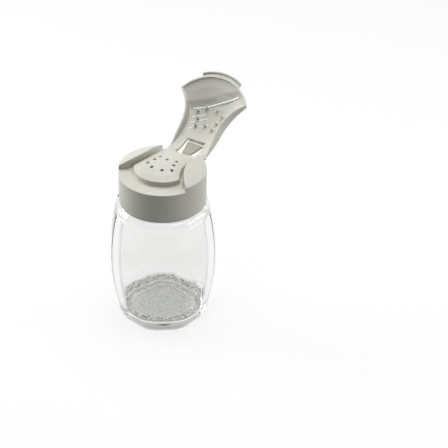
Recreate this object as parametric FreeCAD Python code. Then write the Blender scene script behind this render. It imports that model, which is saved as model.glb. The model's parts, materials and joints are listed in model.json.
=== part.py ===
import FreeCAD, Part
import math
import os
from FreeCAD import Vector

os.makedirs("parts", exist_ok=True)

# Spice shaker: a thick octagonal glass jar under a screw cap with a nine-hole sifter and a
# snap-hinged flip lid. Millimetres. Origin on the jar's axis at the resting face, +Z up.
# The lid's hinge is towards +Y and the finger scoop towards -Y. The lid is drawn closed
# and then turned to its open rest position.

# Glass jar
jarHalfWidth = 29.1          # half the width across opposite facets, at the widest height
jarWidestZ = 40.5
jarLowerSweep = 135.0        # radius of the barrel curve below the widest height
jarUpperSweep = 140.0        # and above it
jarCornerRadius = 13.5       # round between two facets
jarTurn = -11.0              # turn of the facets against the cap, degrees
facetPairs = 4
footHalf = 21.0              # half width of the octagonal foot across its facets
heelHeight = 8.5
heelBulge = 1.1              # how far the heel bows out from a straight slope
shoulderZ = 75.4
shoulderRound = 3.0
glassWall = 3.1
baseThickness = 8.0
cavityFloorRound = 3.0
pushUpRadius = 17.0
pushUpDepth = 1.0
neckWall = 2.8
lipRound = 0.8

# Thread between neck and cap
threadPitch = 4.0
threadTurns = 1.25
threadWidth = 1.7            # width at the root of the ridge
threadCrestWidth = 0.7
neckThreadRise = 1.3
capThreadRise = 1.6
neckThreadZ = 81.0
threadSink = 0.3             # how far a ridge's root reaches into its wall
threadRoom = 2.2             # between the neck and the inside of the skirt

# Sealing ring
sealThickness = 1.0
sealSetback = 0.2            # from the neck's bore out to the ring's inner edge
sealMargin = 0.4             # from the neck's outside in to the ring's outer edge

# Cap moulding
capRadius = 24.0
capWall = 1.6
skirtGap = 0.4               # between the jar's shoulder and the skirt
skirtHeight = 17.6
deckThickness = capWall
edgeBreak = 0.4

# Domed top shared by the lid and the two cheeks
domeRise = 8.9               # crown of the dome above the deck
domeEdgeRise = 2.5           # height of the dome above the deck at the cap's rim

# Raised sifter
sifterRadius = 15.6
sifterCrownRise = 5.8
sifterEdgeRise = 3.0
sifterWall = 1.4
holeRadius = 0.95
holePairs = [(5.2, 5.9), (6.0, 1.6), (7.6, -2.9), (3.2, -5.8)]
middleHole = (0.0, 4.5)

# Flip lid
lidWaist = 12.0              # half width of the lid behind its waist
waistY = 8.0
cheekCurve = 24.6            # radius of each cheek's inner side
lidWall = 1.4
flangeWall = 1.2
lidLift = 0.3                # clearance of the closed lid above the deck
cheekGap = 0.4
flangeGap = 0.6              # between the lid's flange and the sifter's wall
pegRadius = 0.85
pegTipRadius = 0.55
pegEntry = 0.8
scoopRadius = 26.0
scoopFloorRise = 3.1         # lowest point of the finger scoop above the deck
scoopReach = 1.0             # from the cap's rim out to the scoop's axis
tabHalfWidth = 12.3
tabReach = 2.8
tabThickness = 0.9
tabDepth = 1.8               # height of the lip along the tab's outer edge
tabLipWall = 0.9
windowLength = 10.0          # from the hinge line to the window's front edge
windowFrontHalf = 5.6
windowBackHalf = 6.2

# Snap hinge
hingeReach = 1.0             # from the cap's rim out to the hinge line
hingeDrop = 0.8              # height of the hinge line below the deck
openAngle = 141.0
webRadius = 0.4
webGap = 0.05
lugThickness = 1.4
lidOverhang = 0.5            # from the hinge line back to the end of the lid's legs
legEndDepth = 1.2
recessLength = 2.5           # from the hinge line to the straight front of the deck's recess
recessDepth = 1.1
recessMargin = 0.25          # from the window's back corners in to the recess
tongueThickness = 1.2
tongueLength = 8.4           # from the hinge line to the tongue's tip, lid closed
tongueTipRise = 6.0          # height of the tongue's tip above the deck, lid closed
tongueRootOffset = 1.0       # from the hinge line to the tongue's own axis
tongueTipHalf = 5.0
tongueRootHalf = 2.6
tongueEndGap = 0.6
tongueClearance = 0.45
tongueWebRadius = 0.35
tongueWebDrop = 0.24         # from the tongue's axis down to the top of its strap

# Worked out
skirtBottomZ = shoulderZ + skirtGap
deckZ = skirtBottomZ + skirtHeight
deckUnderZ = deckZ - deckThickness
lipZ = deckUnderZ - sealThickness
skirtInner = capRadius - capWall
neckRadius = skirtInner - threadRoom
neckBore = neckRadius - neckWall
hingeY = capRadius + hingeReach
hingeZ = deckZ - hingeDrop
lidBackY = hingeY + lidOverhang
tongueTipY = hingeY - tongueLength
windowFrontY = hingeY - windowLength
facetAngle = math.pi / (2 * facetPairs)
lidBottomZ = deckZ + lidLift
far = 200.0
tiny = 1e-6


def sphereThrough(crownZ, edgeZ, edgeRadius):
    # Radius and centre height of the sphere with this crown and edge circle
    rise = crownZ - edgeZ
    radius = (edgeRadius ** 2 + rise ** 2) / (2 * rise)
    return radius, crownZ - radius


domeRadius, domeCentreZ = sphereThrough(deckZ + domeRise, deckZ + domeEdgeRise, capRadius)
sifterDome, sifterCentreZ = sphereThrough(deckZ + sifterCrownRise, deckZ + sifterEdgeRise,
                                          sifterRadius)


def ball(radius, centreZ):
    return Part.makeSphere(radius, Vector(0, 0, centreZ))


def block(x0, x1, y0, y1, z0, z1):
    return Part.makeBox(x1 - x0, y1 - y0, z1 - z0, Vector(x0, y0, z0))


def tube(outer, inner, z0, z1):
    solid = Part.makeCylinder(outer, z1 - z0, Vector(0, 0, z0))
    return solid.cut(Part.makeCylinder(inner, z1 - z0, Vector(0, 0, z0)))


def prism(wire, z0, z1):
    face = Part.Face(wire)
    face.translate(Vector(0, 0, z0))
    return face.extrude(Vector(0, 0, z1 - z0))


def fused(shapes):
    return shapes[0].multiFuse(shapes[1:]).removeSplitter()


def arc(a, b, c):
    return Part.Arc(Vector(*a), Vector(*b), Vector(*c)).toShape()


def line(a, b):
    return Part.makeLine(Vector(*a), Vector(*b))


def barrelHalf(z, inset):
    # Half width of the barrel at height z, drawn in by inset
    sweep = jarLowerSweep if z < jarWidestZ else jarUpperSweep
    return jarHalfWidth - inset - sweep + math.sqrt(sweep ** 2 - (z - jarWidestZ) ** 2)


def bulged(a, b, bulge):
    # Arc in the XZ plane from a to b that bows to the right of the way from a to b
    wayX, wayZ = b[0] - a[0], b[2] - a[2]
    length = math.hypot(wayX, wayZ)
    midX = (a[0] + b[0]) / 2 + bulge * wayZ / length
    midZ = (a[2] + b[2]) / 2 - bulge * wayX / length
    return arc(a, (midX, 0, midZ), b)


def sagitta(a, b, radius):
    # Bulge of an arc of this radius between two points
    chord = math.hypot(b[0] - a[0], b[2] - a[2])
    return radius - math.sqrt(radius ** 2 - chord ** 2 / 4)


def barrelEdges(scale, inset, bottomZ, topZ, bottomRise, bottomHalf, bottomBulge, topRound):
    # Right-hand outline of the barrel in the XZ plane, from its floor to its top face
    lowZ = bottomZ + bottomRise
    highZ = topZ - topRound
    low = (barrelHalf(lowZ, inset) * scale, 0, lowZ)
    mid = (barrelHalf(jarWidestZ, inset) * scale, 0, jarWidestZ)
    high = (barrelHalf(highZ, inset) * scale, 0, highZ)
    floor = (bottomHalf * scale, 0, bottomZ)
    crown = (high[0] - topRound, 0, topZ)
    return [
        line((0, 0, bottomZ), floor),
        bulged(floor, low, bottomBulge),
        bulged(low, mid, sagitta(low, mid, jarLowerSweep)),
        bulged(mid, high, sagitta(mid, high, jarUpperSweep)),
        bulged(high, crown, sagitta(high, crown, topRound)),
        line(crown, (0, 0, topZ)),
    ]


def cornerScale(inset):
    # Corner distance of the octagon over its facet distance, at the widest height
    half = jarHalfWidth - inset
    corner = jarCornerRadius - inset
    return ((half - corner) / math.cos(facetAngle) + corner) / half


def octagonBarrel(inset, bottomZ, topZ, bottomRise, bottomHalf, bottomBulge, topRound):
    # Eight curved facets, with the corners taken off by a round of revolution
    def outline(scale):
        edges = barrelEdges(scale, inset, bottomZ, topZ, bottomRise, bottomHalf, bottomBulge,
                            topRound)
        return edges + [line((0, 0, topZ), (0, 0, bottomZ))]
    half = Part.Face(Part.Wire(outline(1.0)))
    slab = half.extrude(Vector(0, 2 * far, 0))
    slab.translate(Vector(0, -far, 0))
    slab = slab.fuse(slab.mirror(Vector(0, 0, 0), Vector(1, 0, 0))).removeSplitter()
    solid = slab
    for index in range(1, facetPairs):
        facet = slab.copy()
        facet.rotate(Vector(0, 0, 0), Vector(0, 0, 1), index * 180.0 / facetPairs)
        solid = solid.common(facet)
    rounded = Part.Face(Part.Wire(outline(cornerScale(inset))))
    return solid.common(rounded.revolve(Vector(0, 0, 0), Vector(0, 0, 1), 360))


def threadRidge(wallRadius, rise, startZ):
    # One ridge along the helix; a negative rise points inwards
    helix = Part.makeHelix(threadPitch, threadPitch * threadTurns, wallRadius)
    sign = 1 if rise > 0 else -1
    rootX = wallRadius - sign * threadSink
    crestX = wallRadius + rise
    points = [Vector(rootX, 0, -threadWidth / 2), Vector(crestX, 0, -threadCrestWidth / 2),
              Vector(crestX, 0, threadCrestWidth / 2), Vector(rootX, 0, threadWidth / 2)]
    profile = Part.makePolygon(points + [points[0]])
    ridge = Part.Wire(helix).makePipeShell([profile], True, True)
    if ridge.Volume < 0:
        ridge.reverse()
    ridge.translate(Vector(0, 0, startZ))
    return ridge


def glassJar():
    outer = octagonBarrel(0.0, 0.0, shoulderZ, heelHeight, footHalf, heelBulge, shoulderRound)
    cavityTop = shoulderZ - glassWall
    wallFoot = barrelHalf(baseThickness + cavityFloorRound, glassWall)
    roundBulge = cavityFloorRound * (1 - math.sqrt(0.5))
    cavity = octagonBarrel(glassWall, baseThickness, cavityTop, cavityFloorRound,
                           wallFoot - cavityFloorRound, roundBulge, glassWall)
    neck = Part.makeCylinder(neckRadius, lipZ - jarWidestZ, Vector(0, 0, jarWidestZ))
    bore = Part.makeCylinder(neckBore, far, Vector(0, 0, jarWidestZ))
    solid = outer.fuse(neck)
    lip = [edge for edge in solid.Edges
           if abs(edge.BoundBox.ZMin - lipZ) < tiny and abs(edge.BoundBox.ZMax - lipZ) < tiny]
    solid = solid.makeFillet(lipRound, lip)
    solid = solid.fuse(threadRidge(neckRadius, neckThreadRise, neckThreadZ))
    solid = solid.cut(cavity).cut(bore)
    pushBall, pushCentre = sphereThrough(pushUpDepth, 0.0, pushUpRadius)
    solid = solid.cut(ball(pushBall, pushCentre))
    solid.rotate(Vector(0, 0, 0), Vector(0, 0, 1), jarTurn)
    return solid


def sealingRing():
    return tube(neckRadius - sealMargin, neckBore + sealSetback, lipZ, deckUnderZ)


def circleMeeting(radius, centreX, centreY, otherRadius):
    # Meeting point, nearest -Y, of a circle about the axis with one about (centreX, centreY)
    gap = math.hypot(centreX, centreY)
    along = (radius ** 2 - otherRadius ** 2 + gap ** 2) / (2 * gap)
    side = math.sqrt(radius ** 2 - along ** 2)
    ux, uy = centreX / gap, centreY / gap
    return along * ux + side * uy, along * uy - side * ux


def lidOutline(inset, frontRadius, backY):
    # Plan of the lid: a round front, two hollow sides and a straight back part
    half = lidWaist - inset
    side = cheekCurve + inset
    centreX = lidWaist + cheekCurve
    tipX, tipY = circleMeeting(frontRadius, centreX, waistY, side)
    tipAngle = math.atan2(tipY - waistY, tipX - centreX)
    midAngle = (tipAngle - math.pi) / 2
    midX = centreX + side * math.cos(midAngle)
    midY = waistY + side * math.sin(midAngle)
    return Part.Wire([
        line((-half, backY, 0), (-half, waistY, 0)),
        arc((-half, waistY, 0), (-midX, midY, 0), (-tipX, tipY, 0)),
        arc((-tipX, tipY, 0), (0, -frontRadius, 0), (tipX, tipY, 0)),
        arc((tipX, tipY, 0), (midX, midY, 0), (half, waistY, 0)),
        line((half, waistY, 0), (half, backY, 0)),
        line((half, backY, 0), (-half, backY, 0)),
    ])


def holePlaces():
    places = [middleHole]
    for x, y in holePairs:
        places += [(-x, y), (x, y)]
    return places


def sifterTop(x, y):
    return sifterCentreZ + math.sqrt(sifterDome ** 2 - x * x - y * y)


def tongueAxis():
    # The tongue's root lies on the line that halves the lid's turn, so it fits both ends
    tipY, tipZ = tongueTipY - hingeY, deckZ + tongueTipRise - hingeZ
    halving = math.atan2(tipZ, tipY) - math.radians(openAngle) / 2
    return (hingeY - tongueRootOffset * math.cos(halving),
            hingeZ - tongueRootOffset * math.sin(halving))


def tongueSweep():
    # How far the tongue turns while the lid turns through its open angle
    rootY, rootZ = tongueAxis()
    tipY, tipZ = tongueTipY, deckZ + tongueTipRise
    turn = math.radians(openAngle)
    dy, dz = tipY - hingeY, tipZ - hingeZ
    openY = hingeY + dy * math.cos(turn) + dz * math.sin(turn)
    openZ = hingeZ - dy * math.sin(turn) + dz * math.cos(turn)
    closed = math.atan2(tipZ - rootZ, tipY - rootY)
    opened = math.atan2(openZ - rootZ, openY - rootY)
    return math.degrees(closed - opened)


def tonguePlate(grow):
    # The tongue with the lid closed, or the space around it when grow is above zero
    rootY, rootZ = tongueAxis()
    tipZ = deckZ + tongueTipRise
    length = math.hypot(tongueTipY - rootY, tipZ - rootZ)
    start = tongueWebRadius + webGap - grow
    end = length - tongueEndGap + grow
    z0 = -tongueThickness / 2 - grow
    points = [Vector(-tongueRootHalf - grow, start, z0), Vector(tongueRootHalf + grow, start, z0),
              Vector(tongueTipHalf + grow, end, z0), Vector(-tongueTipHalf - grow, end, z0)]
    face = Part.Face(Part.makePolygon(points + [points[0]]))
    plate = face.extrude(Vector(0, 0, tongueThickness + 2 * grow))
    tilt = math.degrees(math.atan2(tipZ - rootZ, tongueTipY - rootY))
    plate.rotate(Vector(0, 0, 0), Vector(1, 0, 0), tilt)
    plate.translate(Vector(0, rootY, rootZ))
    return plate


def screwCap():
    skirt = tube(capRadius, skirtInner, skirtBottomZ, deckUnderZ)
    deck = Part.makeCylinder(capRadius, deckThickness, Vector(0, 0, deckUnderZ))
    sifterWire = lidOutline(flangeWall + flangeGap, sifterRadius, sifterBackY())
    sifter = prism(sifterWire, deckUnderZ, deckZ + far).common(ball(sifterDome, sifterCentreZ))
    disc = Part.makeCylinder(capRadius, domeRise + deckThickness, Vector(0, 0, deckUnderZ))
    cheeks = disc.common(ball(domeRadius, domeCentreZ))
    cheeks = cheeks.cut(prism(lidOutline(-cheekGap, capRadius + capWall, far), deckZ, far))
    solid = fused([skirt, deck, cheeks, sifter])
    rims = [edge for edge in solid.Edges
            if edge.BoundBox.ZMax < skirtBottomZ + tiny and edge.Length > 2 * math.pi * skirtInner]
    solid = solid.makeChamfer(edgeBreak, rims)
    hollow = prism(lidOutline(flangeWall + flangeGap + sifterWall, sifterRadius - sifterWall,
                              sifterBackY() - sifterWall), deckUnderZ - capWall, deckZ + far)
    hollow = hollow.common(ball(sifterDome - sifterWall, sifterCentreZ))
    hollow = hollow.cut(tonguePlate(tongueClearance + sifterWall))
    solid = solid.cut(hollow)
    for x, y in holePlaces():
        solid = solid.cut(Part.makeCylinder(holeRadius, domeRise, Vector(x, y, deckZ)))
    lugs = []
    inner, outer = windowBackHalf + webGap, lidWaist - webGap
    rootY = math.sqrt(skirtInner ** 2 - outer ** 2)
    lugTop = hingeZ + webRadius - webGap
    for side in (-1, 1):
        x0, x1 = sorted((side * inner, side * outer))
        lugs.append(block(x0, x1, rootY, hingeY - webRadius, lugTop - lugThickness, lugTop))
    solid = fused([solid] + lugs)
    recessHalf = windowBackHalf - recessMargin
    solid = solid.cut(block(-recessHalf, recessHalf, hingeY - recessLength, far,
                            deckZ - recessDepth, far))
    solid = solid.fuse(threadRidge(skirtInner, -capThreadRise, neckThreadZ - threadPitch / 2))
    return solid.cut(tonguePlate(tongueClearance))


def sifterBackY():
    # The sifter's dome runs out at the deck towards the hinge
    return math.sqrt(sifterDome ** 2 - (deckZ - sifterCentreZ) ** 2) - edgeBreak


def windowWire():
    return Part.makePolygon([
        Vector(-windowFrontHalf, windowFrontY, 0), Vector(windowFrontHalf, windowFrontY, 0),
        Vector(windowBackHalf, lidBackY + capWall, 0), Vector(-windowBackHalf, lidBackY + capWall, 0),
        Vector(-windowFrontHalf, windowFrontY, 0)])


def scoop(shrink):
    floorZ = deckZ + scoopFloorRise
    centre = Vector(-far / 2, -capRadius - scoopReach, floorZ + scoopRadius)
    return Part.makeCylinder(scoopRadius + shrink, far, centre, Vector(1, 0, 0))


def flipLid():
    dome = ball(domeRadius, domeCentreZ)
    body = prism(lidOutline(0.0, capRadius, lidBackY), lidBottomZ, far).common(dome)
    cavity = prism(lidOutline(flangeWall, capRadius - flangeWall, lidBackY + capWall),
                   deckZ - capWall, far)
    cavity = cavity.common(ball(domeRadius - lidWall, domeCentreZ)).cut(scoop(lidWall))
    tabTop = deckZ + domeEdgeRise
    tabEdge = capRadius + tabReach
    tab = tube(tabEdge, capRadius - flangeWall, tabTop - tabThickness, tabTop)
    tab = tab.fuse(tube(tabEdge, tabEdge - tabLipWall, tabTop - tabDepth, tabTop))
    tab = tab.common(block(-tabHalfWidth, tabHalfWidth, -far, 0, 0, far))
    solid = body.cut(scoop(0.0)).cut(cavity).fuse(tab)
    pegs = []
    for x, y in holePlaces():
        tipZ = sifterTop(x, y) - pegEntry
        topZ = domeCentreZ + math.sqrt((domeRadius - lidWall / 2) ** 2 - x * x - y * y)
        pegs.append(Part.makeCone(pegTipRadius, pegRadius, topZ - tipZ, Vector(x, y, tipZ)))
    legEnds = []
    for side in (-1, 1):
        x0, x1 = sorted((side * windowBackHalf, side * lidWaist))
        legEnds.append(block(x0, x1, lidBackY - legEndDepth, lidBackY,
                             hingeZ + webRadius + webGap, deckZ + domeEdgeRise - lidWall))
    solid = solid.cut(prism(windowWire(), 0, far))
    return opened(fused([solid] + pegs + legEnds), hingeY, hingeZ, openAngle)


def opened(shape, axisY, axisZ, angle):
    shape.rotate(Vector(0, axisY, axisZ), Vector(-1, 0, 0), angle)
    return shape


def springTongue():
    rootY, rootZ = tongueAxis()
    return opened(tonguePlate(0.0), rootY, rootZ, tongueSweep())


def hingeWeb(side):
    # A film strap drawn as a slim round bar along the hinge line, on the end of its lug
    inner, outer = windowBackHalf + webGap, lidWaist - webGap
    x0 = min(side * inner, side * outer)
    return Part.makeCylinder(webRadius, outer - inner, Vector(x0, hingeY, hingeZ), Vector(1, 0, 0))


def tongueRootWeb(cap):
    rootY, rootZ = tongueAxis()
    bar = Part.makeCylinder(tongueWebRadius, 2 * tongueRootHalf,
                            Vector(-tongueRootHalf, rootY, rootZ), Vector(1, 0, 0))
    strapTop = rootZ - tongueWebDrop
    strap = block(-tongueRootHalf, tongueRootHalf, skirtInner, rootY,
                  strapTop - tongueWebRadius, strapTop)
    return bar.fuse(strap).cut(cap).removeSplitter()


def largest(shape):
    return max(shape.Solids, key=lambda solid: solid.Volume)


cap = screwCap()
parts = {
    "glass_jar": glassJar(),
    "sealing_ring": sealingRing(),
    "screw_cap": cap,
    "flip_lid": flipLid(),
    "spring_tongue": springTongue(),
    "left_hinge_web": hingeWeb(-1),
    "right_hinge_web": hingeWeb(1),
    "tongue_root_web": tongueRootWeb(cap),
}

for name, shape in parts.items():
    solid = largest(shape)
    print(name, "solids", len(shape.Solids), "valid", solid.isValid(), "volume", round(solid.Volume, 1),
          "box", [round(value, 2) for value in (shape.BoundBox.XMin, shape.BoundBox.YMin,
                                                shape.BoundBox.ZMin, shape.BoundBox.XMax,
                                                shape.BoundBox.YMax, shape.BoundBox.ZMax)])
    solid.exportStep("parts/" + name + ".step")

print("tongue turns", round(tongueSweep(), 2), "ratio", round(tongueSweep() / openAngle, 4),
      "axis", [round(value, 3) for value in tongueAxis()], "hinge", hingeY, hingeZ)
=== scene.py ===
import json
import math

import bmesh
import bpy
from mathutils import Matrix, Vector


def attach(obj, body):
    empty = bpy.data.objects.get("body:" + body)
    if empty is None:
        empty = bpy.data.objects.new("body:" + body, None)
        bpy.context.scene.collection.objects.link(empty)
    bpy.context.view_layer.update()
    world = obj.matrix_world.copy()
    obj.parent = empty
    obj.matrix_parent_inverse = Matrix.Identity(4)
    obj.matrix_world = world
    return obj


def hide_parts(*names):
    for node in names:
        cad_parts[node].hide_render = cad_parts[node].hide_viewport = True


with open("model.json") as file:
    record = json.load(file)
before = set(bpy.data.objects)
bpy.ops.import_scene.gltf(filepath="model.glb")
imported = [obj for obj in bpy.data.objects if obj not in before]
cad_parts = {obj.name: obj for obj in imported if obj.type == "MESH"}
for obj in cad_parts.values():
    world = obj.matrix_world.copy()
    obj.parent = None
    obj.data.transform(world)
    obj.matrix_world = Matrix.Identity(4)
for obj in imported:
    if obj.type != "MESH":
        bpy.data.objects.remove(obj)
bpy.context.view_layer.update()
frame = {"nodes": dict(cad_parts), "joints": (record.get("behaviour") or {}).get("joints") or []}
nodes = frame["nodes"]

# A spice shaker: octagonal glass jar, screw cap with a raised sifter and a snap-hinged flip
# lid that stands open. Blender works in metres; the sizes in the dictionaries of the jar, the
# lid and the sifter are millimetres.
mm = 0.001
sameSpot = 1e-7  # metres: points closer than this are one


# Helpers for node trees and meshes

def addNode(tree, kind, settings=None, inputs=None):
    # A node with its settings; an input takes a plain value or a link from a socket
    node = tree.nodes.new(kind)
    for key, value in (settings or {}).items():
        setattr(node, key, value)
    for key, value in (inputs or {}).items():
        if isinstance(value, bpy.types.NodeSocket):
            tree.links.new(value, node.inputs[key])
        else:
            node.inputs[key].default_value = value
    return node


def addMath(tree, operation, *values):
    inputs = {index: value for index, value in enumerate(values)}
    return addNode(tree, "ShaderNodeMath", {"operation": operation}, inputs).outputs[0]


def newGroup(name, kind, takes, gives):
    # An empty node group with named inputs and outputs
    group = bpy.data.node_groups.new(name, kind)
    for label, socket, default in takes:
        item = group.interface.new_socket(label, in_out="INPUT", socket_type=socket)
        if default is not None:
            item.default_value = default
    for label, socket in gives:
        group.interface.new_socket(label, in_out="OUTPUT", socket_type=socket)
    start = group.nodes.new("NodeGroupInput")
    end = group.nodes.new("NodeGroupOutput")
    return group, start.outputs, end.inputs


def finishTree(group, geometry, given, result):
    # The end of every Geometry Nodes tree: real meshes with a material
    whole = addNode(group, "GeometryNodeRealizeInstances", None, {0: geometry})
    painted = addNode(group, "GeometryNodeSetMaterial", None,
                      {"Geometry": whole.outputs[0], "Material": given["Material"]})
    group.links.new(painted.outputs[0], result["Geometry"])


def runTree(piece, group, values):
    # Grows a piece's mesh through a Geometry Nodes tree and leaves a plain mesh behind
    modifier = piece.modifiers.new(group.name, "NODES")
    modifier.node_group = group
    for item in group.interface.items_tree:
        if item.in_out == "INPUT" and item.name in values:
            modifier[item.identifier] = values[item.name]
    piece.data = evaluatedMesh(piece)
    piece.modifiers.clear()
    return piece


def evaluatedMesh(piece):
    graph = bpy.context.evaluated_depsgraph_get()
    return bpy.data.meshes.new_from_object(piece.evaluated_get(graph))


def newPiece(name, mesh):
    piece = bpy.data.objects.new(name, mesh)
    bpy.context.scene.collection.objects.link(piece)
    return piece


def addMesh(piece, mesh):
    # Joins another mesh onto a piece
    work = bmesh.new()
    work.from_mesh(piece.data)
    work.from_mesh(mesh)
    work.to_mesh(piece.data)
    work.free()


def fixNormals(mesh):
    # Merges doubles and turns every face outwards
    work = bmesh.new()
    work.from_mesh(mesh)
    bmesh.ops.remove_doubles(work, verts=work.verts, dist=sameSpot)
    bmesh.ops.recalc_face_normals(work, faces=work.faces)
    work.to_mesh(mesh)
    work.free()


def settle(piece, body, material, stoodFor):
    # Paints a finished piece, puts it on its body and hides the solids that it stands for
    piece.data.materials.clear()
    piece.data.materials.append(material)
    piece.data.polygons.foreach_set("use_smooth", [True] * len(piece.data.polygons))
    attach(piece, body)
    if stoodFor:
        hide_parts(*stoodFor)
    print("piece", piece.name, len(piece.data.vertices), "points")


# Points, arcs and slopes in plain numbers

def between(low, high, steps):
    # Evenly spaced values with both ends
    return [low + (high - low) * i / steps for i in range(steps + 1)]


def quarter(centre, radius, startAngle, endAngle, steps):
    # Points on an arc, angles in degrees from the +x direction
    angles = [math.radians(startAngle + (endAngle - startAngle) * i / steps)
              for i in range(steps + 1)]
    return [(centre[0] + radius * math.cos(a), centre[1] + radius * math.sin(a))
            for a in angles]


def bowed(start, end, bulge, steps):
    # Points from start to end that bow to the right of the way by the bulge
    wayX, wayZ = end[0] - start[0], end[1] - start[1]
    length = math.hypot(wayX, wayZ)
    points = []
    for share in between(0.0, 1.0, steps):
        bow = 4 * bulge * share * (1 - share) / length
        points.append((start[0] + share * wayX + bow * wayZ, start[1] + share * wayZ - bow * wayX))
    return points


def smoothShare(value, low, high):
    # 0 at low, 1 at high and a smooth slope between
    share = min(1.0, max(0.0, (value - low) / (high - low)))
    return share * share * (3 - 2 * share)


def blend(a, b, c, d, share):
    # One coordinate on the smooth line from b to c, with a and d as their neighbours
    ramp = (c - a) / 2, (d - b) / 2
    square, cube = share ** 2, share ** 3
    return ((2 * cube - 3 * square + 1) * b + (cube - 2 * square + share) * ramp[0]
            + (3 * square - 2 * cube) * c + (cube - square) * ramp[1])


def smoothPath(corners, steps):
    # A smooth line through plan points
    path = []
    for i in range(len(corners) - 1):
        a, b = corners[max(i - 1, 0)], corners[i]
        c, d = corners[i + 1], corners[min(i + 2, len(corners) - 1)]
        for share in between(0.0, 1.0, steps)[:-1]:
            path.append(tuple(blend(a[k], b[k], c[k], d[k], share) for k in range(2)))
    return path + [corners[-1]]


# Shader groups shared by the finishes

def makeGrain():
    # Fine moulded grain: a height for bump and a slow mottling of the colour
    group, given, result = newGroup(
        "mouldGrain", "ShaderNodeTree",
        [("Grain Scale", "NodeSocketFloat", 2600.0), ("Mottle Scale", "NodeSocketFloat", 90.0)],
        [("Height", "NodeSocketFloat"), ("Mottle", "NodeSocketFloat")])
    place = addNode(group, "ShaderNodeTexCoord").outputs["Object"]
    fine = addNode(group, "ShaderNodeTexNoise", None,
                   {"Vector": place, "Scale": given["Grain Scale"], "Detail": 3.0,
                    "Roughness": 0.6})
    slow = addNode(group, "ShaderNodeTexNoise", None,
                   {"Vector": place, "Scale": given["Mottle Scale"], "Detail": 4.0,
                    "Roughness": 0.55})
    group.links.new(fine.outputs["Fac"], result["Height"])
    group.links.new(slow.outputs["Fac"], result["Mottle"])
    return group


def makeEdgeRub():
    # Where handling has polished the raised edges, broken up by noise
    group, given, result = newGroup(
        "edgeRub", "ShaderNodeTree",
        [("Start", "NodeSocketFloat", 0.52), ("End", "NodeSocketFloat", 0.62),
         ("Patch Scale", "NodeSocketFloat", 400.0)],
        [("Rub", "NodeSocketFloat")])
    point = addNode(group, "ShaderNodeNewGeometry").outputs["Pointiness"]
    place = addNode(group, "ShaderNodeTexCoord").outputs["Object"]
    patch = addNode(group, "ShaderNodeTexNoise", None,
                    {"Vector": place, "Scale": given["Patch Scale"], "Detail": 2.0})
    ramp = addNode(group, "ShaderNodeMapRange", None,
                   {"Value": point, "From Min": given["Start"], "From Max": given["End"]})
    rubbed = addMath(group, "MULTIPLY", ramp.outputs["Result"], patch.outputs["Fac"])
    group.links.new(rubbed, result["Rub"])
    return group


def makeBaseShade():
    # Masks for painted shade in the base of a pressed jar: a grey disc on the inside floor with
    # gritty noise, dark speckles round its wavy rim over the knurls, and the foot below
    group, given, result = newGroup(
        "baseShade", "ShaderNodeTree",
        [("Floor Height", "NodeSocketFloat", 0.008), ("Floor Room", "NodeSocketFloat", 0.0006),
         ("Disc Radius", "NodeSocketFloat", 0.021), ("Rim Width", "NodeSocketFloat", 0.0022),
         ("Wave", "NodeSocketFloat", 0.0008), ("Wave Scale", "NodeSocketFloat", 320.0),
         ("Speckle Scale", "NodeSocketFloat", 900.0), ("Speckle Share", "NodeSocketFloat", 0.5),
         ("Grit Start", "NodeSocketFloat", 0.46), ("Grit End", "NodeSocketFloat", 0.60),
         ("Foot Height", "NodeSocketFloat", 0.0085), ("Foot Full", "NodeSocketFloat", 0.004)],
        [("Disc", "NodeSocketFloat"), ("Rim", "NodeSocketFloat"), ("Foot", "NodeSocketFloat"),
         ("Grit", "NodeSocketFloat")])
    place = addNode(group, "ShaderNodeTexCoord").outputs["Object"]
    split = addNode(group, "ShaderNodeSeparateXYZ", None, {0: place}).outputs
    square = addMath(group, "ADD", addMath(group, "MULTIPLY", split[0], split[0]),
                     addMath(group, "MULTIPLY", split[1], split[1]))
    slow = addNode(group, "ShaderNodeTexNoise", None,
                   {"Vector": place, "Scale": given["Wave Scale"]})
    shift = addMath(group, "MULTIPLY", addMath(group, "SUBTRACT", slow.outputs["Fac"], 0.5),
                    given["Wave"])
    radius = addMath(group, "ADD", addMath(group, "SQRT", square), shift)
    away = addMath(group, "ABSOLUTE", addMath(group, "SUBTRACT", split[2], given["Floor Height"]))
    level = addMath(group, "LESS_THAN", away, given["Floor Room"])
    inside = addMath(group, "LESS_THAN", radius, given["Disc Radius"])
    disc = addMath(group, "MULTIPLY", level, inside)
    fine = addNode(group, "ShaderNodeTexNoise", None,
                   {"Vector": place, "Scale": given["Speckle Scale"], "Detail": 2.0})
    spots = addMath(group, "GREATER_THAN", fine.outputs["Fac"], given["Speckle Share"])
    start = addMath(group, "SUBTRACT", given["Disc Radius"], given["Rim Width"])
    outer = addMath(group, "GREATER_THAN", radius, start)
    rim = addMath(group, "MULTIPLY", addMath(group, "MULTIPLY", disc, outer), spots)
    foot = addNode(group, "ShaderNodeMapRange", {"interpolation_type": "SMOOTHSTEP"},
                   {"Value": split[2], "From Min": given["Foot Height"],
                    "From Max": given["Foot Full"]})
    grit = addNode(group, "ShaderNodeMapRange", None,
                   {"Value": fine.outputs["Fac"], "From Min": given["Grit Start"],
                    "From Max": given["Grit End"]})
    group.links.new(addMath(group, "MULTIPLY", disc, grit.outputs["Result"]), result["Grit"])
    group.links.new(disc, result["Disc"])
    group.links.new(rim, result["Rim"])
    group.links.new(foot.outputs["Result"], result["Foot"])
    return group


grainGroup = makeGrain()
edgeGroup = makeEdgeRub()
baseShadeGroup = makeBaseShade()


# Finishes of the plastic and the sealing ring

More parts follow.
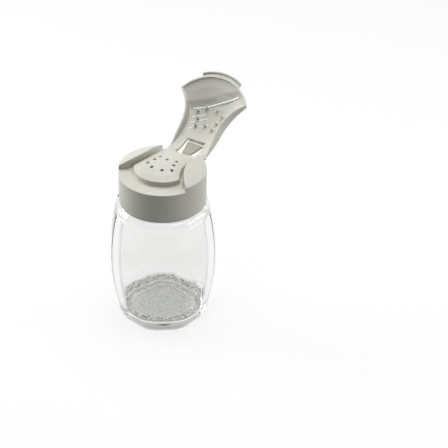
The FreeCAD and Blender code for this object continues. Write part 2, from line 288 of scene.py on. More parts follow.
def satinPlastic(name, finish):
    # Semi-matt polypropylene in the given tints
    material = bpy.data.materials.new(name)
    material.use_nodes = True
    tree = material.node_tree
    shader = tree.nodes["Principled BSDF"]
    grain = addNode(tree, "ShaderNodeGroup", {"node_tree": grainGroup})
    grain.inputs["Grain Scale"].default_value = finish["grainScale"]
    grain.inputs["Mottle Scale"].default_value = finish["mottleScale"]
    rub = addNode(tree, "ShaderNodeGroup", {"node_tree": edgeGroup})
    base = addNode(tree, "ShaderNodeMix", {"data_type": "RGBA"},
                   {0: grain.outputs["Mottle"], 6: finish["dark"], 7: finish["light"]})
    worn = addNode(tree, "ShaderNodeMix", {"data_type": "RGBA"},
                   {0: rub.outputs["Rub"], 6: base.outputs[2], 7: finish["rubbed"]})
    tree.links.new(worn.outputs[2], shader.inputs["Base Color"])
    rough = addNode(tree, "ShaderNodeMapRange", None,
                    {"Value": grain.outputs["Mottle"], "To Min": finish["roughLow"],
                     "To Max": finish["roughHigh"]})
    tree.links.new(rough.outputs["Result"], shader.inputs["Roughness"])
    bump = addNode(tree, "ShaderNodeBump", None,
                   {"Height": grain.outputs["Height"], "Distance": finish["grainDepth"],
                    "Strength": finish["grainStrength"]})
    tree.links.new(bump.outputs["Normal"], shader.inputs["Normal"])
    shader.inputs["IOR"].default_value = finish["ior"]
    shader.inputs["Specular IOR Level"].default_value = finish["specular"]
    return material


capFinish = {
    "dark": (0.560, 0.555, 0.495, 1.0),
    "light": (0.615, 0.610, 0.550, 1.0),
    "rubbed": (0.700, 0.695, 0.640, 1.0),
    "roughLow": 0.36, "roughHigh": 0.50,
    "grainScale": 2400.0, "mottleScale": 85.0,
    "grainDepth": 0.00006, "grainStrength": 0.35,
    "ior": 1.49, "specular": 0.5,
}
# Painted shade: the tongue gets a darker copy of the cap plastic, standing in for the shade on its
# steep face
shadedTongueFinish = dict(capFinish, dark=(0.340, 0.335, 0.270, 1.0), light=(0.375, 0.370, 0.300, 1.0),
                    rubbed=(0.450, 0.445, 0.380, 1.0))
# Painted highlight: a pale, glossier copy of the cap plastic for the step lines under the lid
highlightLineFinish = dict(capFinish, dark=(0.93, 0.93, 0.91, 1.0), light=(0.97, 0.97, 0.95, 1.0),
                      rubbed=(0.98, 0.98, 0.97, 1.0), roughLow=0.18, roughHigh=0.28)
sealFinish = {
    "dark": (0.70, 0.70, 0.67, 1.0),
    "light": (0.80, 0.80, 0.78, 1.0),
    "rubbed": (0.84, 0.84, 0.82, 1.0),
    "roughLow": 0.65, "roughHigh": 0.80,
    "grainScale": 1500.0, "mottleScale": 140.0,
    "grainDepth": 0.00010, "grainStrength": 0.5,
    "ior": 1.45, "specular": 0.3,
}
capPlastic = satinPlastic("capPlastic", capFinish)
shadedTonguePlastic = satinPlastic("shadedTonguePlastic", shadedTongueFinish)
paintedHighlightPlastic = satinPlastic("paintedHighlightPlastic", highlightLineFinish)
sealFoam = satinPlastic("sealFoam", sealFinish)


# Finish of the glass

def clearGlass(name, finish):
    # Pressed soda-lime glass with a faint wave from the mould
    material = bpy.data.materials.new(name)
    material.use_nodes = True
    tree = material.node_tree
    shader = tree.nodes["Principled BSDF"]
    shader.inputs["Transmission Weight"].default_value = 1.0
    shader.inputs["IOR"].default_value = finish["ior"]
    grain = addNode(tree, "ShaderNodeGroup", {"node_tree": grainGroup})
    grain.inputs["Grain Scale"].default_value = finish["waveScale"]
    grain.inputs["Mottle Scale"].default_value = finish["tintScale"]
    tint = addNode(tree, "ShaderNodeMix", {"data_type": "RGBA"},
                   {0: grain.outputs["Mottle"], 6: finish["dark"], 7: finish["light"]})
    # Painted shade in the base: the disc, its grit, the rim speckles and the foot are darkened
    # where the floor's shade shows through the glass
    place = addNode(tree, "ShaderNodeGroup", {"node_tree": baseShadeGroup})
    for label, value in finish["base"].items():
        place.inputs[label].default_value = value
    disc = addNode(tree, "ShaderNodeMix", {"data_type": "RGBA"},
                   {0: place.outputs["Disc"], 6: tint.outputs[2], 7: finish["discShadeTint"]})
    gritty = addNode(tree, "ShaderNodeMix", {"data_type": "RGBA"},
                     {0: place.outputs["Grit"], 6: disc.outputs[2], 7: finish["gritShadeTint"]})
    rim = addNode(tree, "ShaderNodeMix", {"data_type": "RGBA"},
                  {0: place.outputs["Rim"], 6: gritty.outputs[2], 7: finish["rimSpeckleShadeTint"]})
    foot = addNode(tree, "ShaderNodeMix", {"data_type": "RGBA"},
                   {0: place.outputs["Foot"], 6: rim.outputs[2], 7: finish["footShadeTint"]})
    # Painted shade: the glass is darkened towards its grazing edges as dark outlines
    view = addNode(tree, "ShaderNodeLayerWeight", None, {"Blend": 0.5})
    grazing = addNode(tree, "ShaderNodeMapRange", {"interpolation_type": "SMOOTHSTEP"},
                      {"Value": view.outputs["Facing"], "From Min": finish["edgeStart"],
                       "From Max": 1.0})
    edgeShaded = addNode(tree, "ShaderNodeMix", {"data_type": "RGBA"},
                       {0: grazing.outputs["Result"], 6: foot.outputs[2], 7: finish["edgeShadeTint"]})
    tree.links.new(edgeShaded.outputs[2], shader.inputs["Base Color"])
    rough = addNode(tree, "ShaderNodeMapRange", None,
                    {"Value": grain.outputs["Mottle"], "To Min": finish["roughLow"],
                     "To Max": finish["roughHigh"]})
    matt = addMath(tree, "MULTIPLY",
                   addMath(tree, "MAXIMUM", place.outputs["Disc"], place.outputs["Foot"]),
                   finish["discRough"])
    tree.links.new(addMath(tree, "ADD", rough.outputs["Result"], matt), shader.inputs["Roughness"])
    bump = addNode(tree, "ShaderNodeBump", None,
                   {"Height": grain.outputs["Height"], "Distance": finish["waveDepth"],
                    "Strength": finish["waveStrength"]})
    tree.links.new(bump.outputs["Normal"], shader.inputs["Normal"])
    return material


glassFinish = {
    "dark": (0.895, 0.903, 0.893, 1.0),
    "light": (0.930, 0.936, 0.928, 1.0),
    # painted shade tints for the base disc, the rim speckles, the grit and the foot
    "discShadeTint": (0.87, 0.88, 0.85, 1.0), "rimSpeckleShadeTint": (0.10, 0.11, 0.09, 1.0),
    "gritShadeTint": (0.52, 0.53, 0.50, 1.0),
    "footShadeTint": (0.34, 0.352, 0.328, 1.0), "discRough": 0.06,
    # painted shade tint of the glass's grazing edges
    "edgeShadeTint": (0.30, 0.31, 0.29, 1.0), "edgeStart": 0.62,
    "base": {"Floor Height": 0.008, "Floor Room": 0.0006, "Disc Radius": 0.0215,
             "Rim Width": 0.0036, "Wave": 0.004, "Wave Scale": 320.0, "Speckle Scale": 850.0,
             "Speckle Share": 0.51, "Grit Start": 0.46, "Grit End": 0.60,
             "Foot Height": 0.0085, "Foot Full": 0.004},
    "roughLow": 0.0, "roughHigh": 0.012,
    "waveScale": 70.0, "tintScale": 25.0,
    "waveDepth": 0.0004, "waveStrength": 0.05,
    "ior": 1.51,
}
jarGlass = clearGlass("jarGlass", glassFinish)
print("finishes ready")


# Glass jar

jar = {
    "halfWidth": 29.1, "widestZ": 40.5, "lowerSweep": 135.0, "upperSweep": 140.0,
    "cornerRadius": 13.5, "turn": -11.0, "facets": 8,
    "footHalf": 21.0, "heelHeight": 8.5, "heelBulge": 1.1,
    "shoulderZ": 75.4, "shoulderRound": 3.0,
    "wall": 3.1, "floorZ": 8.0, "floorRound": 3.0,
    "pushUpRadius": 17.0, "pushUpDepth": 1.0,
    "neckRadius": 20.2, "neckBore": 17.4, "neckFillet": 0.8, "lipZ": 90.8, "lipRound": 0.8,
    "innerShoulderRound": 4.0,
    "threadZ": 81.0, "threadPitch": 4.0, "threadTurns": 1.25,
    "threadWidth": 1.7, "threadRise": 1.25,
    "threadReach": 1.25, "threadFlank": 0.75,  # shares of the thread's half width
    "threadEase": 0.08,  # of a turn, at both ends
    "poleRadius": 0.05, "around": 360,
}
ringSteps = {  # how many rings each stretch of the jar's profile gets
    "pushUp": 12, "foot": 14, "heel": 14, "barrel": 44, "shoulder": 8, "shelf": 4,
    "neckRoot": 6, "neck": 52, "lip": 6, "bore": 8, "innerShoulder": 10, "innerWall": 40,
    "floorRound": 8, "floor": 30,
}


def barrelHalf(z, inset=0.0):
    # Half width at this height: two sweeps that meet where the barrel is widest
    sweep = jar["lowerSweep"] if z < jar["widestZ"] else jar["upperSweep"]
    return jar["halfWidth"] - inset - sweep + math.sqrt(sweep ** 2 - (z - jar["widestZ"]) ** 2)


def jarProfile():
    # Rings from the middle of the push-up round the outside and down the inside:
    # half width, height and how far the ring is octagonal rather than round
    j, steps = jar, ringSteps
    rings = []
    lift = (j["pushUpRadius"] ** 2 + j["pushUpDepth"] ** 2) / (2 * j["pushUpDepth"])
    for r in between(j["poleRadius"], j["pushUpRadius"], steps["pushUp"]):
        rings.append((r, j["pushUpDepth"] - lift + math.sqrt(lift ** 2 - r * r), 0.0))
    for r in between(j["pushUpRadius"], j["footHalf"], steps["foot"])[1:]:
        rings.append((r, 0.0, smoothShare(r, j["pushUpRadius"], j["footHalf"])))
    heelTop = (barrelHalf(j["heelHeight"]), j["heelHeight"])
    for r, z in bowed((j["footHalf"], 0.0), heelTop, j["heelBulge"], steps["heel"])[1:]:
        rings.append((r, z, 1.0))
    highZ = j["shoulderZ"] - j["shoulderRound"]
    for z in between(j["heelHeight"], highZ, steps["barrel"])[1:]:
        rings.append((barrelHalf(z), z, 1.0))
    edge = barrelHalf(highZ) - j["shoulderRound"]
    for r, z in quarter((edge, highZ), j["shoulderRound"], 0, 90, steps["shoulder"])[1:]:
        rings.append((r, z, 1.0))
    flatEnd = j["neckRadius"] + j["neckFillet"]
    for r in between(edge, flatEnd, steps["shelf"])[1:]:
        rings.append((r, j["shoulderZ"], smoothShare(r, flatEnd, edge)))
    neckFoot = j["shoulderZ"] + j["neckFillet"]
    for r, z in quarter((flatEnd, neckFoot), j["neckFillet"], -90, -180, steps["neckRoot"])[1:]:
        rings.append((r, z, 0.0))
    neckTop = j["lipZ"] - j["lipRound"]
    for z in between(neckFoot, neckTop, steps["neck"])[1:]:
        rings.append((j["neckRadius"], z, 0.0))
    outerLip, innerLip = j["neckRadius"] - j["lipRound"], j["neckBore"] + j["lipRound"]
    for r, z in quarter((outerLip, neckTop), j["lipRound"], 0, 90, steps["lip"])[1:]:
        rings.append((r, z, 0.0))
    for r, z in quarter((innerLip, neckTop), j["lipRound"], 90, 180, steps["lip"]):
        rings.append((r, z, 0.0))
    turnIn = j["innerShoulderRound"]
    ceiling = j["shoulderZ"] - j["wall"]
    for z in between(neckTop, ceiling, steps["bore"])[1:]:
        rings.append((j["neckBore"], z, 0.0))
    wallTop = barrelHalf(ceiling - turnIn, j["wall"])
    span = wallTop - j["neckBore"]
    for angle in between(0.0, 90.0, steps["innerShoulder"])[1:]:
        share = math.sin(math.radians(angle))
        drop = turnIn * (1 - math.cos(math.radians(angle)))
        rings.append((j["neckBore"] + span * share, ceiling - drop, share))
    wallFoot = j["floorZ"] + j["floorRound"]
    for z in between(ceiling - turnIn, wallFoot, steps["innerWall"])[1:]:
        rings.append((barrelHalf(z, j["wall"]), z, 1.0))
    floorHalf = barrelHalf(wallFoot, j["wall"]) - j["floorRound"]
    for r, z in quarter((floorHalf, wallFoot), j["floorRound"], 0, -90, steps["floorRound"])[1:]:
        rings.append((r, z, 1.0))
    for r in between(floorHalf, j["poleRadius"], steps["floor"])[1:]:
        rings.append((r, j["floorZ"], smoothShare(r, 0.0, floorHalf)))
    return rings


def octagonRadius(angle, half):
    # Distance to a regular octagon with rounded corners, facet distance half
    sector = 2 * math.pi / jar["facets"]
    off = abs((angle + sector / 2) % sector - sector / 2)
    corner = min(jar["cornerRadius"], half)
    toCentre = (half - corner) / math.cos(sector / 2)
    tangent = math.atan2((half - corner) * math.tan(sector / 2), half)
    if off <= tangent:
        return half / math.cos(off)
    fromCorner = sector / 2 - off
    inside = corner ** 2 - (toCentre * math.sin(fromCorner)) ** 2
    return toCentre * math.cos(fromCorner) + math.sqrt(inside)


def threadHeight(angle, z):
    # Rise of the neck's thread at this place, easing out at both ends
    climb = (z - jar["threadZ"]) / jar["threadPitch"]
    best = 0.0
    for lap in range(-1, 3):
        turn = angle / (2 * math.pi) + lap
        if not 0 <= turn <= jar["threadTurns"]:
            continue
        away = abs(climb - turn) * jar["threadPitch"] / (jar["threadWidth"] / 2)
        ease = min(1.0, turn / jar["threadEase"],
                   (jar["threadTurns"] - turn) / jar["threadEase"])
        flank = smoothShare(jar["threadReach"] - away, 0.0, jar["threadFlank"])
        best = max(best, ease * flank)
    return best * jar["threadRise"]


def makeJar():
    # A grid of rings, pole to pole, as one closed wall of glass
    rings = jarProfile()
    count = jar["around"]
    turn = math.radians(jar["turn"])
    points = []
    for half, z, octagonal in rings:
        onNeck = octagonal == 0.0 and half == jar["neckRadius"]
        for i in range(count):
            angle = 2 * math.pi * i / count
            radius = half
            if octagonal > 0.0:
                radius += octagonal * (octagonRadius(angle, half) - half)
            if onNeck:
                radius += threadHeight(angle, z)
            points.append((radius * math.cos(angle + turn) * mm,
                           radius * math.sin(angle + turn) * mm, z * mm))
    faces = []
    for ring in range(len(rings) - 1):
        for i in range(count):
            a, b = ring * count + i, ring * count + (i + 1) % count
            faces.append((a, a + count, b + count, b))
    last = (len(rings) - 1) * count
    faces.append(tuple(range(count)))
    faces.append(tuple(last + i for i in reversed(range(count))))
    mesh = bpy.data.meshes.new("glassJar")
    mesh.from_pydata(points, [], faces)
    fixNormals(mesh)
    return newPiece("glassJar", mesh)


footNotches = {"Count": 84.0, "Inner Radius": 17.4 * mm, "Outer Radius": 20.6 * mm,
               "Depth": 0.4 * mm, "Level": 0.0}  # on the standing ring
rimKnurls = {"Count": 66.0, "Inner Radius": 17.6 * mm, "Outer Radius": 22.4 * mm,
             "Depth": 0.8 * mm, "Level": jar["floorZ"] * mm}  # round the inside floor


def makeNotchTree():
    # Presses uneven radial notches into a level ring of a jar's base
    group, given, result = newGroup(
        "ringNotches", "GeometryNodeTree",
        [("Geometry", "NodeSocketGeometry", None), ("Count", "NodeSocketFloat", 84.0),
         ("Inner Radius", "NodeSocketFloat", 0.0174), ("Outer Radius", "NodeSocketFloat", 0.0206),
         ("Depth", "NodeSocketFloat", 0.0004), ("Level", "NodeSocketFloat", 0.0),
         ("Level Room", "NodeSocketFloat", 0.00005), ("Grain Scale", "NodeSocketFloat", 420.0),
         ("Material", "NodeSocketMaterial", None)],
        [("Geometry", "NodeSocketGeometry")])
    place = addNode(group, "GeometryNodeInputPosition").outputs[0]
    split = addNode(group, "ShaderNodeSeparateXYZ", None, {0: place}).outputs
    square = addMath(group, "ADD", addMath(group, "MULTIPLY", split[0], split[0]),
                     addMath(group, "MULTIPLY", split[1], split[1]))
    radius = addMath(group, "SQRT", square)
    angle = addMath(group, "ARCTAN2", split[1], split[0])
    wave = addMath(group, "COSINE", addMath(group, "MULTIPLY", angle, given["Count"]))
    wave = addMath(group, "MULTIPLY", addMath(group, "ADD", wave, 1.0), 0.5)
    inside = addMath(group, "MULTIPLY",
                     addMath(group, "GREATER_THAN", radius, given["Inner Radius"]),
                     addMath(group, "LESS_THAN", radius, given["Outer Radius"]))
    away = addMath(group, "ABSOLUTE", addMath(group, "SUBTRACT", split[2], given["Level"]))
    level = addMath(group, "LESS_THAN", away, given["Level Room"])
    grain = addNode(group, "ShaderNodeTexNoise", None,
                    {"Vector": place, "Scale": given["Grain Scale"], "Detail": 1.0})
    uneven = addMath(group, "MULTIPLY", wave, grain.outputs["Fac"])
    lift = addMath(group, "MULTIPLY", addMath(group, "MULTIPLY", uneven, given["Depth"]),
                   addMath(group, "MULTIPLY", inside, level))
    offset = addNode(group, "ShaderNodeCombineXYZ", None, {2: lift}).outputs[0]
    moved = addNode(group, "GeometryNodeSetPosition", None,
                    {"Geometry": given["Geometry"], "Offset": offset})
    finishTree(group, moved.outputs[0], given, result)
    return group


glassJar = makeJar()
notchTree = makeNotchTree()
runTree(glassJar, notchTree, dict(footNotches, Material=jarGlass))
runTree(glassJar, notchTree, dict(rimKnurls, Material=jarGlass))
settle(glassJar, "jar", jarGlass, ["glass_jar"])


# Moulded skins: dressed copies of the plastic solids with soft edges

moulding = {"capVoxel": 0.33 * mm, "lidVoxel": 0.27 * mm, "tongueVoxel": 0.12 * mm,
            "weldGap": 2e-6, "softShare": 0.5, "softPasses": 3}


def mergedCopy(name, nodeNames):
    # One mesh of the named solids, joined at their shared points
    work = bmesh.new()
    for nodeName in nodeNames:
        work.from_mesh(nodes[nodeName].data)
    bmesh.ops.remove_doubles(work, verts=work.verts, dist=moulding["weldGap"])
    mesh = bpy.data.meshes.new(name)
    work.to_mesh(mesh)
    work.free()
    return newPiece(name, mesh)


def mouldedSkin(name, source, voxel):
    # An even skin over the source, drawn onto it and then softened at its edges
    skin = newPiece(name, source.data.copy())
    remesh = skin.modifiers.new("even", "REMESH")
    remesh.mode = "VOXEL"
    remesh.voxel_size = voxel
    wrap = skin.modifiers.new("draw", "SHRINKWRAP")
    wrap.target = source
    wrap.wrap_method = "NEAREST_SURFACEPOINT"
    soften = skin.modifiers.new("soften", "SMOOTH")
    soften.factor = moulding["softShare"]
    soften.iterations = moulding["softPasses"]
    skin.data = evaluatedMesh(skin)
    skin.modifiers.clear()
    bpy.data.objects.remove(source)
    return skin


# The domes of the lid and the sifter, given with the lid closed

lidHinge = next(joint for joint in frame["joints"] if joint["name"] == "lid_hinge")
shells = {
    "domeCentreZ": 54.1, "domeRadius": 48.2, "lidWall": 1.4,
    "scoopY": -25.0, "scoopAxisZ": 122.5, "scoopRadius": 26.0,
    "sifterCentreZ": 54.34, "sifterRadius": 44.86,
    "hingeY": lidHinge["pos_m"][1] / mm, "hingeZ": lidHinge["pos_m"][2] / mm,
    "openAngle": -lidHinge["range_deg"][0],
    "rim": 24.0, "waist": 12.0, "waistY": 8.0, "cheekCurve": 24.6,
}


def onBall(x, y, centreZ, radius):
    # Height of a dome over this place
    return centreZ + math.sqrt(radius ** 2 - x * x - y * y)


def scoopZ(y, radius):
    # Height of the finger scoop, a round hollow across the lid
    return shells["scoopAxisZ"] - math.sqrt(radius ** 2 - (y - shells["scoopY"]) ** 2)


def sifterZ(x, y):
    return onBall(x, y, shells["sifterCentreZ"], shells["sifterRadius"])


def lidOpened(point):
    # Turns a point of the closed lid to the lid's open place
    turn = math.radians(shells["openAngle"])
    y, z = point[1] - shells["hingeY"], point[2] - shells["hingeZ"]
    return (point[0], shells["hingeY"] + y * math.cos(turn) + z * math.sin(turn),
            shells["hingeZ"] - y * math.sin(turn) + z * math.cos(turn))


# Fine raised lines along paths

def pathMesh(paths):
    # Paths in millimetres as bare edges
    points, edges = [], []
    for path in paths:
        edges += [(len(points) + i, len(points) + i + 1) for i in range(len(path) - 1)]
        points += [[c * mm for c in point] for point in path]
    mesh = bpy.data.meshes.new("paths")
    mesh.from_pydata(points, edges, [])
    return mesh


def makeLineTree():
    # Draws a slim round ridge along every path
    group, given, result = newGroup(
        "raisedLines", "GeometryNodeTree",
        [("Geometry", "NodeSocketGeometry", None), ("Ridge Radius", "NodeSocketFloat", 0.0003),
         ("Sides", "NodeSocketInt", 8), ("Material", "NodeSocketMaterial", None)],
        [("Geometry", "NodeSocketGeometry")])
    curve = addNode(group, "GeometryNodeMeshToCurve", None, {"Mesh": given["Geometry"]})
    ring = addNode(group, "GeometryNodeCurvePrimitiveCircle", None,
                   {"Resolution": given["Sides"], "Radius": given["Ridge Radius"]})
    tubes = addNode(group, "GeometryNodeCurveToMesh", None,
                    {"Curve": curve.outputs[0], "Profile Curve": ring.outputs[0],
                     "Fill Caps": True})
    finishTree(group, tubes.outputs[0], given, result)
    return group


lineTree = makeLineTree()


def addRidges(piece, paths, radius):
    ridges = newPiece("ridges", pathMesh(paths))
    runTree(ridges, lineTree, {"Ridge Radius": radius * mm, "Material": capPlastic})
    addMesh(piece, ridges.data)
    bpy.data.objects.remove(ridges)


# Screw cap, with faint arcs on its sifter

sifterArcs = {"radii": (11.4, 12.7, 13.9), "halfAngle": 52.0, "radius": 0.25, "sink": -0.17,
              "steps": 36}


def sifterPaths():
    # Arcs round the front of the sifter's dome
    a = sifterArcs
    paths = []
    for radius in a["radii"]:
        angles = between(-90 - a["halfAngle"], -90 + a["halfAngle"], a["steps"])
        plan = [(radius * math.cos(math.radians(t)), radius * math.sin(math.radians(t)))
                for t in angles]
        paths.append([(x, y, sifterZ(x, y) + a["sink"]) for x, y in plan])
    return paths


screwCap = mouldedSkin("screwCap", mergedCopy("capSource", ["screw_cap"]), moulding["capVoxel"])
addRidges(screwCap, sifterPaths(), sifterArcs["radius"])
settle(screwCap, "cap", capPlastic, ["screw_cap"])


# Flip lid: the pad under its front

padShape = {"reach": 24.0, "cell": 0.4, "inset": 0.6, "root": 0.4, "lineY": -8.3,
            "lineSlope": -0.5, "depth": 1.4, "ramp": 5.0, "easeFrom": 17.0, "easeTo": 22.8,
            "easeShare": 0.5}


def padDepth(x, y):
    # How far the pad hangs below the dome's underside at this place
    f = padShape
    ahead = (f["lineY"] + f["lineSlope"] * x - y) / math.hypot(1.0, f["lineSlope"])
    if ahead <= 0:
        return 0.0
    ease = smoothShare(math.hypot(x, y), f["easeFrom"], f["easeTo"])
    return f["depth"] * smoothShare(ahead, 0.0, f["ramp"]) * (1 - f["easeShare"] * ease)


def insideLid(x, y, inset):
    # Whether a place lies inside the lid's hourglass outline
    side = math.hypot(abs(x) - shells["waist"] - shells["cheekCurve"], y - shells["waistY"])
    return math.hypot(x, y) < shells["rim"] - inset and side > shells["cheekCurve"] + inset


def frontFill():
    # A smooth pad under the lid's front, from the step line to the flange
    f = padShape
    count = int(round(2 * f["reach"] / f["cell"]))
    places = between(-f["reach"], f["reach"], count)
    rows = [y for y in places if y < 0]
    index, points, faces = {}, [], []
    for x in places:
        for y in rows:
            depth = padDepth(x, y)
            if depth <= 0 or not insideLid(x, y, f["inset"]):
                continue
            under = onBall(x, y, shells["domeCentreZ"], shells["domeRadius"] - shells["lidWall"])
            index[(x, y)] = len(points)
            points.append([c * mm for c in lidOpened((x, y, under - depth))])
            points.append([c * mm for c in lidOpened((x, y, under + f["root"]))])
    for i in range(len(places) - 1):
        for j in range(len(rows) - 1):
            corners = [index.get((places[a], rows[b]))
                       for a, b in ((i, j), (i + 1, j), (i + 1, j + 1), (i, j + 1))]
            if None not in corners:
                faces.append(tuple(corners))
                faces.append(tuple(c + 1 for c in reversed(corners)))
    mesh = bpy.data.meshes.new("frontFill")
    mesh.from_pydata(points, [], faces)
    closeRims(mesh)
    return mesh


def closeRims(mesh):
    # Joins the two skins of a pad round their open edges
    work = bmesh.new()
    work.from_mesh(mesh)
    work.verts.ensure_lookup_table()
    rims = [edge for edge in work.edges if len(edge.link_faces) == 1
            and edge.verts[0].index % 2 == 0]
    for edge in rims:
        a, b = edge.verts
        work.faces.new((a, b, work.verts[b.index + 1], work.verts[a.index + 1]))
    bmesh.ops.delete(work, geom=[v for v in work.verts if not v.link_faces], context="VERTS")
    bmesh.ops.recalc_face_normals(work, faces=work.faces)
    work.to_mesh(mesh)
    work.free()


# Flip lid: the grip ridges in its finger scoop

gripRidges = {"count": 7, "firstY": -12.5, "spacing": 1.7, "arcRadius": 27.0, "halfWidth": 12.3,
              "radius": 0.3, "sink": -0.12, "margin": 0.15, "reach": 23.3, "steps": 40,
              "fewest": 4}


def gripPaths():
    # Arcs across the finger scoop, kept where the scoop lies below the dome
    g = gripRidges
    paths = []
    for index in range(g["count"]):
        centreY = g["firstY"] - index * g["spacing"] - g["arcRadius"]
        path = []
        for x in between(-g["halfWidth"], g["halfWidth"], g["steps"]):
            y = centreY + math.sqrt(g["arcRadius"] ** 2 - x * x)
            dome = onBall(x, y, shells["domeCentreZ"], shells["domeRadius"])
            height = scoopZ(y, shells["scoopRadius"])
            if height < dome - g["margin"] and math.hypot(x, y) < g["reach"]:
                path.append(lidOpened((x, y, height + g["sink"])))
        if len(path) >= g["fewest"]:
            paths.append(path)
    return paths


# Flip lid: the film at its window

filmLip = {"halfWidth": 4.9, "frontY": 14.6, "backY": 16.2, "lowZ": 98.95, "highZ": 99.3}


def lipMesh():
    # The film along the front edge of the lid's window, which leads to the tongue
    f = filmLip
    corners = [(x, y, z) for z in (f["lowZ"], f["highZ"]) for y in (f["frontY"], f["backY"])
               for x in (-f["halfWidth"], f["halfWidth"])]
    mesh = bpy.data.meshes.new("filmLip")
    faces = [(0, 2, 3, 1), (4, 5, 7, 6), (0, 1, 5, 4), (2, 6, 7, 3), (0, 4, 6, 2), (1, 3, 7, 5)]
    mesh.from_pydata([[c * mm for c in lidOpened(corner)] for corner in corners], [], faces)
    fixNormals(mesh)
    return mesh


flipLid = mouldedSkin("flipLid", mergedCopy("lidSource", ["flip_lid"]), moulding["lidVoxel"])
addMesh(flipLid, frontFill())
addRidges(flipLid, gripPaths(), gripRidges["radius"])
addMesh(flipLid, lipMesh())
settle(flipLid, "lid", capPlastic, ["flip_lid"])


# Step lines under the lid, painted pale as highlights

lidLines = {
    "frontStep": [(-10.9, -2.9), (-7.5, -4.6), (-3.6, -6.4), (2.0, -9.6), (8.8, -12.9),
                  (14.3, -15.8)],
    "sideSteps": [[(-9.6, 1.7), (-6.3, -0.1), (-2.5, -2.1)],
                  [(-9.4, 5.2), (-5.1, 2.5), (-0.5, 0.1)],
                  [(-9.3, 9.3), (-5.4, 7.0), (-1.1, 5.0)]],
    "frontRadius": 0.72, "sideRadius": 0.5, "sink": 0.34, "steps": 8,
}


def lidUnderZ(x, y):
    # Underside of the closed lid: the dome with its pad, or the scoop where that hangs lower
    dome = onBall(x, y, shells["domeCentreZ"], shells["domeRadius"] - shells["lidWall"])
    if abs(y - shells["scoopY"]) > shells["scoopRadius"]:
        return dome
    return min(dome - padDepth(x, y), scoopZ(y, shells["scoopRadius"] + shells["lidWall"]))


def underLidPath(corners):
    # A path on the lid's underside, from its corners in plan
    plan = smoothPath(corners, lidLines["steps"])
    return [lidOpened((x, y, lidUnderZ(x, y) + lidLines["sink"])) for x, y in plan]


stepLines = newPiece("stepLines", bpy.data.meshes.new("stepLines"))
addRidges(stepLines, [underLidPath(lidLines["frontStep"])], lidLines["frontRadius"])
addRidges(stepLines, [underLidPath(corners) for corners in lidLines["sideSteps"]],
          lidLines["sideRadius"])
settle(stepLines, "lid", paintedHighlightPlastic, [])


# Spring tongue, and the CAD solids that stay: hinge webs and sealing ring

springTongue = mouldedSkin("springTongue", mergedCopy("tongueSource", ["spring_tongue"]),
                           moulding["tongueVoxel"])
# The tongue wears the darker copy of the cap plastic as painted shade
settle(springTongue, "tongue", shadedTonguePlastic, ["spring_tongue"])
bareNodes = {"left_hinge_web": capPlastic, "right_hinge_web": capPlastic,
             "tongue_root_web": capPlastic, "sealing_ring": sealFoam}
for nodeName, material in bareNodes.items():
    nodes[nodeName].data.materials.clear()
    nodes[nodeName].data.materials.append(material)
print("bare nodes painted", len(bareNodes))


# Floor, light and camera

stage = {"floorSize": 6.0, "seenColour": (0.95, 0.95, 0.95, 1.0),
         "bounceColour": (0.54, 0.54, 0.53, 1.0), "floorRough": 0.9,
         "whiteShare": 0.86, "ambient": 0.06, "lampAim": (0.0, 0.0, 0.06)}


def seenRays(tree):
    # 1 for rays that show the background, straight or through gloss and glass
    path = addNode(tree, "ShaderNodeLightPath").outputs
    some = addMath(tree, "MAXIMUM", path["Is Camera Ray"], path["Is Glossy Ray"])
    return addMath(tree, "MAXIMUM", some, path["Is Transmission Ray"])


def makeFloor():
    # Paper that shows white to the rays of seenRays and bounces less light on the object
    mesh = bpy.data.meshes.new("floor")
    half = stage["floorSize"] / 2
    mesh.from_pydata([(-half, -half, 0), (half, -half, 0), (half, half, 0), (-half, half, 0)],
                     [], [(0, 1, 2, 3)])
    floor = newPiece("floor", mesh)
    material = bpy.data.materials.new("floorPaper")
    material.use_nodes = True
    tree = material.node_tree
    shader = tree.nodes["Principled BSDF"]
    seen = seenRays(tree)
    colour = addNode(tree, "ShaderNodeMix", {"data_type": "RGBA"},
                     {0: seen, 6: stage["bounceColour"], 7: stage["seenColour"]})
    tree.links.new(colour.outputs[2], shader.inputs["Base Color"])
    shader.inputs["Roughness"].default_value = stage["floorRough"]
    shader.inputs["Specular IOR Level"].default_value = 0.0
    glow = addNode(tree, "ShaderNodeEmission", None, {"Color": (1, 1, 1, 1), "Strength": 1.0})
    share = addMath(tree, "MULTIPLY", seen, stage["whiteShare"])
    mix = addNode(tree, "ShaderNodeMixShader", None,
                  {0: share, 1: shader.outputs[0], 2: glow.outputs[0]})
    tree.links.new(mix.outputs[0], tree.nodes["Material Output"].inputs["Surface"])
    mesh.materials.append(material)


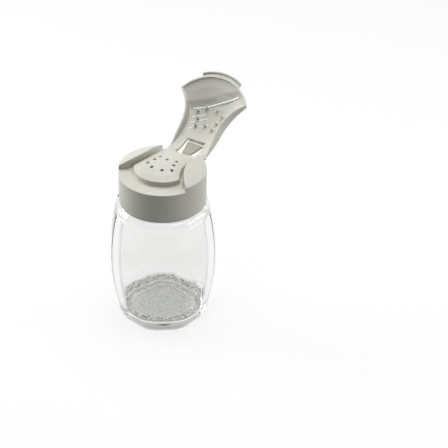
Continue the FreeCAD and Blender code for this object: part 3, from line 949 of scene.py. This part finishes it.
def makeWorld():
    # White round the stage where it is seen, and a little light all round
    world = bpy.data.worlds.new("studio")
    world.use_nodes = True
    bpy.context.scene.world = world
    tree = world.node_tree
    back = tree.nodes["Background"]
    back.inputs["Color"].default_value = (1.0, 1.0, 1.0, 1.0)
    strength = addNode(tree, "ShaderNodeMapRange", None,
                       {"Value": seenRays(tree), "To Min": stage["ambient"], "To Max": 1.0})
    tree.links.new(strength.outputs["Result"], back.inputs["Strength"])


lamps = [
    {"name": "topSoftbox", "place": (-0.02, 0.14, 0.75), "size": 0.55, "watts": 4.4},
    {"name": "leftSoftbox", "place": (-0.66, -0.10, 0.28), "size": 0.45, "watts": 3.8},
    {"name": "rightSoftbox", "place": (0.62, 0.34, 0.26), "size": 0.45, "watts": 2.3},
]


def makeLamps():
    for lamp in lamps:
        data = bpy.data.lights.new(lamp["name"], "AREA")
        data.shape = "SQUARE"
        data.size = lamp["size"]
        data.energy = lamp["watts"]
        light = bpy.data.objects.new(lamp["name"], data)
        light.location = lamp["place"]
        aim = Vector(stage["lampAim"]) - light.location
        light.rotation_euler = aim.to_track_quat("-Z", "Y").to_euler()
        bpy.context.scene.collection.objects.link(light)


cameraFit = {
    "place": (0.30402, -0.49069, 0.45588),
    "right": (0.87124, 0.49024, 0.02456),
    "up": (-0.29526, 0.48344, 0.82408),
    "forward": (-0.39213, 0.72522, -0.56594),
    "focalPixels": 1256.67, "imagePixels": 448, "sensor": 36.0,
}


def makeCamera():
    data = bpy.data.cameras.new("camera")
    data.sensor_width = cameraFit["sensor"]
    data.lens = cameraFit["focalPixels"] * cameraFit["sensor"] / cameraFit["imagePixels"]
    camera = bpy.data.objects.new("camera", data)
    turn = Matrix((cameraFit["right"], cameraFit["up"],
                   [-c for c in cameraFit["forward"]])).transposed()
    camera.matrix_world = Matrix.Translation(cameraFit["place"]) @ turn.to_4x4()
    bpy.context.scene.collection.objects.link(camera)
    bpy.context.scene.camera = camera


makeFloor()
makeWorld()
makeLamps()
makeCamera()
bpy.context.scene.view_settings.view_transform = "Standard"
print("stage ready")
